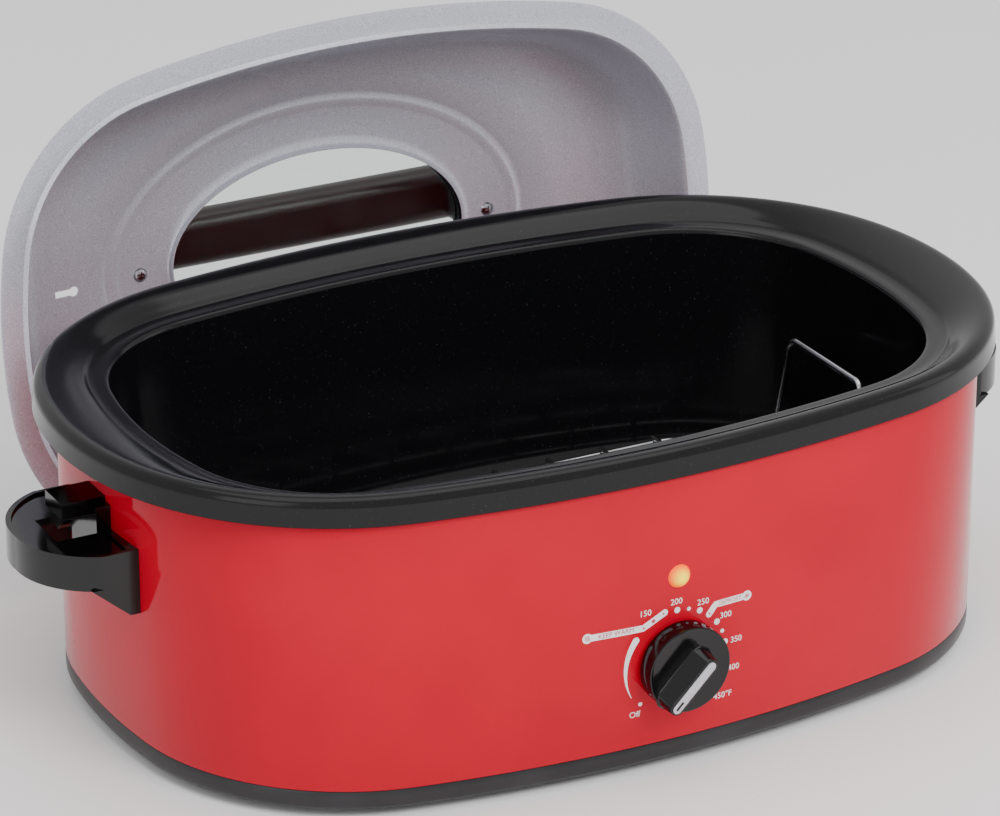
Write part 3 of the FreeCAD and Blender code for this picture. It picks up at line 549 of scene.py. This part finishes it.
def makeFeet():
    foot = {"x": 178.0, "y": 126.0, "radius": 10.0, "height": 5.3, "well": 4.2, "deep": 2.6, "edge": 0.9}
    pads = []
    for x in (-foot["x"], foot["x"]):
        for y in (-foot["y"], foot["y"]):
            clearSelection()
            bpy.ops.mesh.primitive_cylinder_add(vertices=48, radius=foot["radius"], depth=foot["height"],
                                                location=(x, y, foot["height"] / 2))
            bpy.ops.object.transform_apply(location=True, rotation=True, scale=True)
            pad = bpy.context.object
            bpy.ops.object.mode_set(mode="EDIT")
            mesh = bmesh.from_edit_mesh(pad.data)
            for face in mesh.faces:
                face.select_set(face.normal.z < -0.9)
            bmesh.update_edit_mesh(pad.data)
            bpy.ops.mesh.inset(thickness=foot["radius"] - foot["well"])
            bpy.ops.mesh.extrude_region_move(TRANSFORM_OT_translate={"value": (0, 0, foot["deep"])})
            bpy.ops.object.mode_set(mode="OBJECT")
            roundEdges(pad, foot["edge"], 3, 50)
            pads.append(pad)
    piece = joinAll(pads, "rubberFeet")
    toFrame(smooth(piece, 50))
    return place(piece, "root", "foot_rubber", finishes["foot"], "rubber_feet")


# pan

def makePan():
    pan = {"skirtBottom": 169.5, "rimTop": 185.2, "sheet": 1.0, "roll": 5.4, "crest": 6.5, "ledge": 13.0,
           "ledgeTop": 175.0, "ledgeStep": 2.4, "mouth": 3.2, "taper": 10.0, "floor": 38.0, "floorRound": 16.0,
           "hem": 0.5, "sag": 0.9, "crown": 0.1, "dishEnd": (2.2, 0.6), "underStep": 0.2, "skirtDrop": 1.4,
           "step": [(0.6, 2.1), (-0.3, 0.9), (-1.6, 0.25), (-6.8, 0.1)],
           "bead": [(25.0, 0), (28.5, 1.2), (31.5, 1.2), (35.0, 0)], "floorShare": 0.4, "underShare": 0.5}
    t = pan["sheet"]
    top, roll = pan["rimTop"], pan["roll"]
    floor, turn = pan["floor"], pan["floorRound"]
    quarter = [pi / 2 * n / 5 for n in range(6)]
    outside = [ovalRing("mouth", t - pan["taper"] - turn + turn * sin(a), floor - t + turn - turn * cos(a))
               for a in quarter]
    outside += [ovalRing("mouth", t, pan["ledgeTop"] - pan["mouth"] - t),
                ovalRing("mouth", t + pan["mouth"] * 0.4, pan["ledgeTop"] - t - pan["mouth"] * 0.3),
                ovalRing("mouth", t + pan["mouth"], pan["ledgeTop"] - t),
                ovalRing("mouth", pan["ledge"] + t * 0.7, pan["ledgeTop"] - t + pan["underStep"]),
                ovalRing("mouth", pan["ledge"] + t, pan["ledgeTop"] + pan["ledgeStep"] - t)]
    under = [mixRing(outside[-1], ovalRing("rim", -roll, top - t * 1.3), share) for share in (0.5, 1.0)]
    inSkirt = [ovalRing("rim", -t - roll * 0.35, top - roll * 0.5), ovalRing("rim", -t, top - roll - t),
               ovalRing("rim", -t, pan["skirtBottom"] + pan["hem"]),
               ovalRing("rim", -t * 0.5, pan["skirtBottom"]),
               ovalRing("rim", 0, pan["skirtBottom"] + pan["hem"])]
    draft = roll * 0.12
    outSkirt = [ovalRing("rim", -draft, top - roll - pan["skirtDrop"])]
    outSkirt += [ovalRing("rim", -draft - roll * (1 - cos(a)), top - roll + roll * sin(a)) for a in quarter]
    crest = ovalRing("rim", -roll - pan["crest"] * 0.5, top - pan["crown"])
    out, up = pan["dishEnd"]
    lip = ovalRing("mouth", pan["ledge"] + out, pan["ledgeTop"] + pan["ledgeStep"] + up)
    dish = [crest]
    for share in (0.2, 0.4, 0.6, 0.8, 1.0):
        ring = mixRing(crest, lip, share)
        sag = pan["sag"] * sin(pi * share)
        dish.append([p + Vector((0, 0, sag)) for p in ring])
    ledge = [ovalRing("mouth", pan["ledge"] + grow, pan["ledgeTop"] + rise) for grow, rise in pan["step"]]
    inside = [ovalRing("mouth", pan["mouth"] * (1 - sin(a)), pan["ledgeTop"] - pan["mouth"] * (1 - cos(a)))
              for a in quarter]
    inside += [ovalRing("mouth", -pan["taper"], floor + turn)]
    inside += [ovalRing("mouth", -pan["taper"] - turn * (1 - cos(a)), floor + turn - turn * sin(a))
               for a in quarter[1:]]
    rim = inside[-1]
    edge = outlines["mouth"][0] - pan["taper"] - turn
    floorRings = [shrinkRing(rim, (edge - inset) / edge, floor + rise) for inset, rise in pan["bead"]]
    floorRings.append(shrinkRing(rim, pan["floorShare"], floor))
    rings = [shrinkRing(outside[0], pan["underShare"], floor - t)]
    rings += outside + under + inSkirt + outSkirt + dish + ledge + inside + floorRings
    piece = ringPiece("enamelPan", rings, capped=True)
    toFrame(smooth(piece, 40))
    return place(piece, "pan", "black_enamel", finishes["enamel"], "roasting_pan")


print("casing and pan")
makeShell()
makeBase()
makeFeet()
makePan()


# lid, built lying flat and then stood on its edge

lidPose = {"lean": 3.72, "gap": 3.0, "sheet": 0.8}


def standLid(piece):
    lean = radians(lidPose["lean"])
    half = outlines["lid"][1]
    turn = Matrix(((-1, 0, 0, 0), (0, sin(lean), cos(lean), 0), (0, cos(lean), -sin(lean), 0), (0, 0, 0, 1)))
    centre = Vector((0, outlines["shell"][1] + lidPose["gap"] + half * sin(lean),
                     half * cos(lean) + lidPose["sheet"] * sin(lean)))
    piece.data.transform(Matrix.Translation(centre) @ turn)
    return toFrame(piece)


# wall and flange: growth of the lid's outline and height; steps and lip: ellipse, its growth and height
def makeLid():
    lid = {"flange": [(-16.6, -1.2), (-15.6, -2.0), (-14.6, -1.2), (-13.4, 0), (-0.6, 0), (0, 0.4),
                      (-0.6, 0.8), (-14.6, 0.8)],
           "wall": [(-17.2, 1.0), (-18.2, 6.0), (-20.0, 18.0), (-22.6, 30.0), (-26.5, 41.0), (-32.5, 50.5),
                    (-41.0, 57.8), (-52.0, 62.0)],
           "ring": (274.0, 180.0), "band": (262.0, 168.0), "window": (191.0, 114.0),
           "steps": [("ring", 10, 65.6), ("ring", 4, 67.8), ("ring", 0, 68.4), ("ring", -5, 67.6),
                     ("band", 2, 67.8), ("band", -3, 69.4), ("band", -7, 70.0), ("window", 16, 70.0)],
           "lip": [("window", 4, 69.6), ("window", 1.6, 65.0), ("window", 0, 65.0), ("window", 2.4, 67.6),
                   ("window", 8, 69.2)]}
    vent = {"x": 160.0, "length": 12.0, "width": 4.0, "radius": 3.0, "height": 70.0, "deep": 60.0}

    def stepRings(steps, drop=0.0):
        return [ellipseRing(lid[name][0] + grow, lid[name][1] + grow, z - drop) for name, grow, z in steps]

    def surface(drop, grow):
        wall = [ovalRing("lid", grow + g, z - drop) for g, z in lid["wall"]]
        steps = stepRings(lid["steps"], drop)
        return wall + [mixRing(wall[-1], steps[0], 0.5)] + steps

    rings = list(reversed(surface(lidPose["sheet"], 0))) + [ovalRing("lid", g, z) for g, z in lid["flange"]]
    rings += surface(0, lidPose["sheet"]) + stepRings(lid["lip"])
    piece = ringPiece("lidDome", rings + rings[:1])
    clearSelection()
    bpy.ops.mesh.primitive_cylinder_add(vertices=32, radius=vent["radius"], depth=vent["deep"],
                                        location=(vent["x"], 0, vent["height"]))
    cutWith(piece, bpy.context.object)
    clearSelection()
    bpy.ops.mesh.primitive_cube_add(size=1, location=(vent["x"] + vent["length"] / 2, 0, vent["height"]))
    bpy.context.object.dimensions = (vent["length"], vent["width"], vent["deep"])
    bpy.ops.object.transform_apply(location=False, rotation=False, scale=True)
    cutWith(piece, bpy.context.object)
    standLid(smooth(piece, 40))
    return place(piece, "lid", "silver_paint", finishes["silver"], "lid_dome")


def makeLidScrews():
    screw = {"x": 115.0, "ball": 5.5, "head": 2.2, "seat": 69.2,
             "slot": 0.9, "slotLength": 4.6, "slotDeep": 2.2}
    low = screw["seat"] - screw["head"]
    heads = []
    for x in (-screw["x"], screw["x"]):
        clearSelection()
        bpy.ops.mesh.primitive_uv_sphere_add(segments=40, ring_count=24, radius=screw["ball"],
                                             location=(x, 0, low + screw["ball"]))
        head = bpy.context.object
        bpy.ops.object.transform_apply(location=True, rotation=False, scale=False)
        bpy.ops.object.mode_set(mode="EDIT")
        bpy.ops.mesh.select_all(action="SELECT")
        bpy.ops.mesh.bisect(plane_co=(x, 0, screw["seat"]), plane_no=(0, 0, 1), use_fill=True, clear_outer=True)
        bpy.ops.object.mode_set(mode="OBJECT")
        for turn in (0, pi / 2):
            clearSelection()
            bpy.ops.mesh.primitive_cube_add(size=1, location=(x, 0, low))
            slot = bpy.context.object
            long, thin = screw["slotLength"], screw["slot"]
            slot.dimensions = (thin if turn else long, long if turn else thin, screw["slotDeep"])
            bpy.ops.object.transform_apply(location=False, rotation=False, scale=True)
            cutWith(head, slot)
        heads.append(head)
    piece = joinAll(heads, "lidScrewHeads")
    standLid(smooth(piece, 35))
    return place(piece, "lid", "screw_steel", finishes["screw"], "lid_screws")


makeLid()
makeLidScrews()
place(roundedCopy("lid_handle", "lidHandleBar", moulded["barEdge"]), "lid", "gloss_black", finishes["satin"],
      "lid_handle")
print("lid")


# handles and knob

for side in ("left", "right"):
    place(roundedCopy(side + "_handle", side + "SideHandle", moulded["handleEdge"]), "root", "gloss_black",
          finishes["gloss"], side + "_handle")


roundSteps = {"fin": 64, "disc": 128}


# a loop with round ends from tip to heel, for the fin on the knob's face, its insert and its slot
def finRing(tip, heel, half, y):
    ring = []
    for n in range(roundSteps["fin"]):
        turn = 2 * pi * n / roundSteps["fin"]
        centre = heel - half if cos(turn) > 0 else tip + half
        ring.append(Vector((half * sin(turn), y, centre + half * cos(turn))))
    return ring


def loopPiece(name, rings):
    clearSelection()
    count = len(rings[0])
    bpy.ops.mesh.primitive_circle_add(vertices=count, radius=1, location=(0, 0, 0), fill_type="NGON")
    piece = bpy.context.object
    piece.name = name
    bpy.ops.object.mode_set(mode="EDIT")
    bpy.ops.mesh.select_all(action="SELECT")
    for number, ring in enumerate(rings):
        if number:
            bpy.ops.mesh.extrude_region_move(TRANSFORM_OT_translate={"value": (0, 0, 0.01)})
        mesh = bmesh.from_edit_mesh(piece.data)
        face = next(f for f in mesh.faces if f.select)
        for corner, spot in zip(face.loops, ring):
            corner.vert.co = spot
        bmesh.update_edit_mesh(piece.data)
    bpy.ops.mesh.select_all(action="SELECT")
    bpy.ops.mesh.normals_make_consistent(inside=False)
    bpy.ops.object.mode_set(mode="OBJECT")
    return piece


def discRing(radius, y):
    turns = [2 * pi * n / roundSteps["disc"] for n in range(roundSteps["disc"])]
    return [Vector((radius * sin(turn), y, radius * cos(turn))) for turn in turns]


def turnToOff(piece):
    turn = Matrix.Rotation(radians(knob["off"]), 4, "Y")
    piece.data.transform(Matrix.Translation((0, 0, knob["height"])) @ turn)
    return toFrame(piece)


# disc: radius and y; fin, insert and slot: tip, heel, half width and y
knob = {"height": 62.5, "off": 45.0,
        "disc": [(23.2, -177.2), (24.4, -178.0), (24.4, -188.1), (24.19, -188.59), (23.7, -188.8),
                 (22.3, -188.55)],
        "fin": [(-25.6, 15.7, 7.8, -187.8), (-24.4, 14.5, 6.6, -189.4), (-24.2, 12.5, 4.4, -199.6),
                (-23.8, 12.1, 3.9, -200.4), (-23.2, 11.5, 3.3, -200.6)],
        "insert": [(-23.0, 10.8, 2.6, -200.0), (-23.0, 10.8, 2.6, -200.7), (-22.8, 10.6, 2.4, -200.8)],
        "slot": [(-21.4, -15.4, 0.75, -200.2), (-21.4, -15.4, 0.75, -202.6)]}


def makeKnob():
    body = loopPiece("dialKnob", [discRing(*spot) for spot in knob["disc"]])
    fin = loopPiece("knobFin", [finRing(*spot) for spot in knob["fin"]])
    combine(body, fin, "UNION")
    turnToOff(smooth(body, 32))
    place(body, "knob", "gloss_black", finishes["gloss"], "control_knob")
    strip = loopPiece("knobInsert", [finRing(*spot) for spot in knob["insert"]])
    cutWith(strip, loopPiece("slotCutter", [finRing(*spot) for spot in knob["slot"]]))
    turnToOff(smooth(strip, 32))
    place(strip, "knob", "silver_foil", finishes["foil"], "knob_insert")


makeKnob()
print("handles and knob")


# dial print, wrapped on the curved front

# x and z on the panel, in millimetres; bands: start, elbow and end; the ends carry a disc each
dial = {"height": 62.5, "shiftX": -0.8, "shiftZ": -0.8, "radius": 30.5, "degreesEach50": 27.0, "zeroAt": 200,
        "ink": 0.10, "seat": 0.01, "overlay": 0.12, "depth": 0.5, "font": 4.9, "curveSteps": 4,
        "dot": 1.75, "smallDot": 1.15, "bigAt": (200, 250, 300, 350, 400), "smallAt": (225, 325, 375, 425),
        "offAt": (-22.4, 41.6),
        "words": {"150": (-20.0, 94.3), "200": (-1.3, 97.2), "250": (15.1, 93.4), "300": (29.4, 82.4),
                  "350": (36.3, 66.3), "400": (35.0, 50.0), "450°F": (28.4, 35.0), "Off": (-25.7, 36.0)},
        "bands": [((-53.9, 86.7), (-21.2, 86.0), (-8.4, 92.4)), ((42.6, 90.4), (22.8, 90.0), (18.9, 85.2))],
        "bandWidth": 3.8, "bandDisc": 0.75, "longSteps": 8, "shortSteps": 4,
        "arcRadius": 31.4, "arcDrop": 1.4, "arcFrom": -54, "arcSweep": -64, "arcSteps": 16, "arcWidth": 3.7,
        "arcTail": 0.25,
        "bandWords": [("KEEP WARM", -37.2, 86.4, 3.8), ("DEFROST", 32.0, 90.2, 3.3)],
        "bandDots": [(-15.2, 89.0, 1.1), (-9.2, 92.0, 0.6), (-21.0, 86.1, 0.6), (19.2, 85.6, 0.6)],
        "steamAt": -54.9, "steam": [(0, 85.2), (0.35, 86.2), (-0.35, 87.2), (0, 88.2)],
        "frostAt": (42.6, 90.4), "frostArm": 1.7, "line": 0.4}


def frontY(x):
    radius = outlines["shell"][2]
    return outlines["shell"][1] - radius + sqrt(radius ** 2 - x ** 2)


# lies flat as x and z with its thickness in y, then follows the panel's curve
def wrapPrint(piece, lift=0.0):
    for vertex in piece.data.vertices:
        x, y, z = vertex.co
        vertex.co = (x, -frontY(x) - lift - (dial["ink"] if y < 0 else dial["seat"]), z)
    return toFrame(piece)


def printDisc(x, z, radius):
    clearSelection()
    bpy.ops.mesh.primitive_cylinder_add(vertices=32, radius=radius, depth=1, location=(x, 0, z),
                                        rotation=(pi / 2, 0, 0))
    bpy.ops.object.transform_apply(location=True, rotation=True, scale=True)
    return bpy.context.object


def printWord(words, x, z, size):
    clearSelection()
    bpy.ops.object.text_add(location=(0, 0, 0))
    text = bpy.context.object
    text.data.body = words
    text.data.size = size
    text.data.align_x = "CENTER"
    text.data.align_y = "CENTER"
    text.data.extrude = dial["depth"]
    text.data.resolution_u = dial["curveSteps"]
    bpy.ops.object.convert(target="MESH")
    word = bpy.context.object
    word.data.transform(Matrix.Translation((x, 0, z)) @ Matrix.Rotation(pi / 2, 4, "X"))
    return word


# a flat band of even width through a few points, cut fine enough to follow the curve
def printBand(points, widths):
    clearSelection()
    bpy.ops.mesh.primitive_plane_add(size=1, location=(0, 0, 0))
    band = bpy.context.object
    bpy.ops.object.mode_set(mode="EDIT")
    mesh = bmesh.from_edit_mesh(band.data)
    bmesh.ops.delete(mesh, geom=list(mesh.verts), context="VERTS")
    pairs = []
    for number, point in enumerate(points):
        before = points[max(number - 1, 0)]
        after = points[min(number + 1, len(points) - 1)]
        along = Vector((after[0] - before[0], after[1] - before[1])).normalized()
        across = Vector((-along.y, along.x)) * widths[number] / 2
        pairs.append([mesh.verts.new((point[0] + s * across.x, -dial["depth"], point[1] + s * across.y))
                      for s in (1, -1)])
    for first, second in zip(pairs, pairs[1:]):
        mesh.faces.new((first[0], first[1], second[1], second[0]))
    bmesh.update_edit_mesh(band.data)
    bpy.ops.mesh.select_all(action="SELECT")
    bpy.ops.mesh.extrude_region_move(TRANSFORM_OT_translate={"value": (0, dial["depth"] * 2, 0)})
    bpy.ops.mesh.select_all(action="SELECT")
    bpy.ops.mesh.normals_make_consistent(inside=False)
    bpy.ops.object.mode_set(mode="OBJECT")
    return band


def joinPrint(parts, name, material, lift=0.0):
    piece = joinAll(parts, name)
    wrapPrint(piece, lift)
    return place(piece, "root", "silver_foil", material)


def dialSpot(degreesF, radius):
    turn = radians((degreesF - dial["zeroAt"]) / 50 * dial["degreesEach50"])
    return dial["shiftX"] + radius * sin(turn), dial["height"] + dial["shiftZ"] + radius * cos(turn)


def run(start, end, steps):
    return [(start[0] + (end[0] - start[0]) * n / steps, start[1] + (end[1] - start[1]) * n / steps)
            for n in range(steps + 1)]


def makeDialPrint():
    parts = [printWord(text, x, z, dial["font"]) for text, (x, z) in dial["words"].items()]
    for spots, radius in ((dial["bigAt"], dial["dot"]), (dial["smallAt"], dial["smallDot"])):
        parts += [printDisc(*dialSpot(degreesF, dial["radius"]), radius) for degreesF in spots]
    parts.append(printDisc(*dial["offAt"], dial["smallDot"]))
    width = dial["bandWidth"]
    for start, elbow, end in dial["bands"]:
        points = run(start, elbow, dial["longSteps"]) + run(elbow, end, dial["shortSteps"])[1:]
        parts.append(printBand(points, [width] * len(points)))
        parts.append(printDisc(*start, width * dial["bandDisc"]))
        parts.append(printDisc(*end, width / 2))
    arcPoints = []
    arcWidths = []
    for n in range(dial["arcSteps"] + 1):
        share = n / dial["arcSteps"]
        turn = radians(dial["arcFrom"] + dial["arcSweep"] * share)
        across, up = dial["arcRadius"] * sin(turn), dial["arcRadius"] * cos(turn)
        arcPoints.append((across, dial["height"] - dial["arcDrop"] + up))
        arcWidths.append(dial["arcWidth"] * (1 - share) + dial["arcTail"])
    parts.append(printBand(arcPoints, arcWidths))
    parts.append(printDisc(*arcPoints[0], arcWidths[0] / 2))
    joinPrint(parts, "dialPrint", finishes["ink"])
    marks = [printWord(*word) for word in dial["bandWords"]] + [printDisc(*dot) for dot in dial["bandDots"]]
    for n in range(3):  # three wavy lines of steam
        points = [(dial["steamAt"] + n + sway, z) for sway, z in dial["steam"]]
        marks.append(printBand(points, [dial["line"]] * len(points)))
    x, z = dial["frostAt"]
    for n in range(3):  # three crossed arms of frost
        turn = radians(60 * n)
        dx, dz = dial["frostArm"] * sin(turn), dial["frostArm"] * cos(turn)
        marks.append(printBand([(x - dx, z - dz), (x + dx, z + dz)], [dial["line"]] * 2))
    joinPrint(marks, "dialBandMarks", finishes["redInk"], dial["overlay"])


makeDialPrint()
print("dial print")


# floor, light, camera

def makeStage():
    stage = {"colours": [(0.3, "#f1f0f0"), (0.7, "#f5f4f4")], "tone": (400, 2.0), "size": 12.0, "drop": 0.0001,
             "sky": 0.85}
    clearSelection()
    bpy.ops.mesh.primitive_plane_add(size=stage["size"], location=(0, 0, -stage["drop"]))
    floor = bpy.context.object
    floor.name = "paleFloor"
    material, tree, shader, spot = newMaterial("palePaper", {"Roughness": 0.6})
    colourBy(tree, shader, noise(tree, spot, *stage["tone"]), stage["colours"])
    dress(floor, material)
    world = bpy.data.worlds.new("studio")
    bpy.context.scene.world = world
    world.use_nodes = True
    background = world.node_tree.nodes["Background"]
    background.inputs["Color"].default_value = (1, 1, 1, 1)
    background.inputs["Strength"].default_value = stage["sky"]


# where each softbox stands, what it faces, its size and its watts; the front one isn't mirrored in the gloss
softboxes = {
    "topSoftbox": {"at": (0.0, -0.1, 2.2), "aim": (0, 0, 0.1), "size": (2.4, 1.4), "watts": 14,
                    "mirrored": True},
    "leftSoftbox": {"at": (-2.2, -1.3, 1.3), "aim": (0, 0, 0.1), "size": (1.2, 1.8), "watts": 10,
                    "mirrored": True},
    "rightSoftbox": {"at": (2.4, -1.0, 1.1), "aim": (0, 0, 0.1), "size": (0.9, 1.8), "watts": 4,
                    "mirrored": True},
    "frontSoftbox": {"at": (0.3, -2.2, 2.1), "aim": (0, 0.1, 0.2), "size": (1.6, 1.2), "watts": 66,
                     "mirrored": False},
}


def makeLights():
    for name, box in softboxes.items():
        light = bpy.data.lights.new(name, "AREA")
        light.shape = "RECTANGLE"
        light.size, light.size_y = box["size"]
        light.energy = box["watts"]
        lamp = bpy.data.objects.new(name, light)
        bpy.context.scene.collection.objects.link(lamp)
        lamp.visible_glossy = box["mirrored"]
        lamp.location = box["at"]
        lamp.rotation_euler = (Vector(box["aim"]) - Vector(box["at"])).to_track_quat("-Z", "Y").to_euler()


def makeCamera():
    view = {"azimuth": -28.057, "elevation": 23.45, "distance": 2.6075, "aim": (-13.326, 0.0, 143.8),
            "focalPixels": 4725.5, "frameWidth": 1000.0, "sensor": 36.0, "far": 50}
    camera = bpy.data.cameras.new("photoCamera")
    camera.sensor_width = view["sensor"]
    camera.lens = view["focalPixels"] / view["frameWidth"] * view["sensor"]
    camera.clip_end = view["far"]
    holder = bpy.data.objects.new("photoCamera", camera)
    bpy.context.scene.collection.objects.link(holder)
    aim = Vector(view["aim"]) * mm + Vector((0, middleY, 0))
    turn, rise = radians(view["azimuth"]), radians(view["elevation"])
    away = Vector((sin(turn) * cos(rise), -cos(turn) * cos(rise), sin(rise)))
    holder.location = aim + away * view["distance"]
    holder.rotation_euler = (-away).to_track_quat("-Z", "Y").to_euler()
    bpy.context.scene.camera = holder


makeStage()
makeLights()
makeCamera()
print("stage ready")
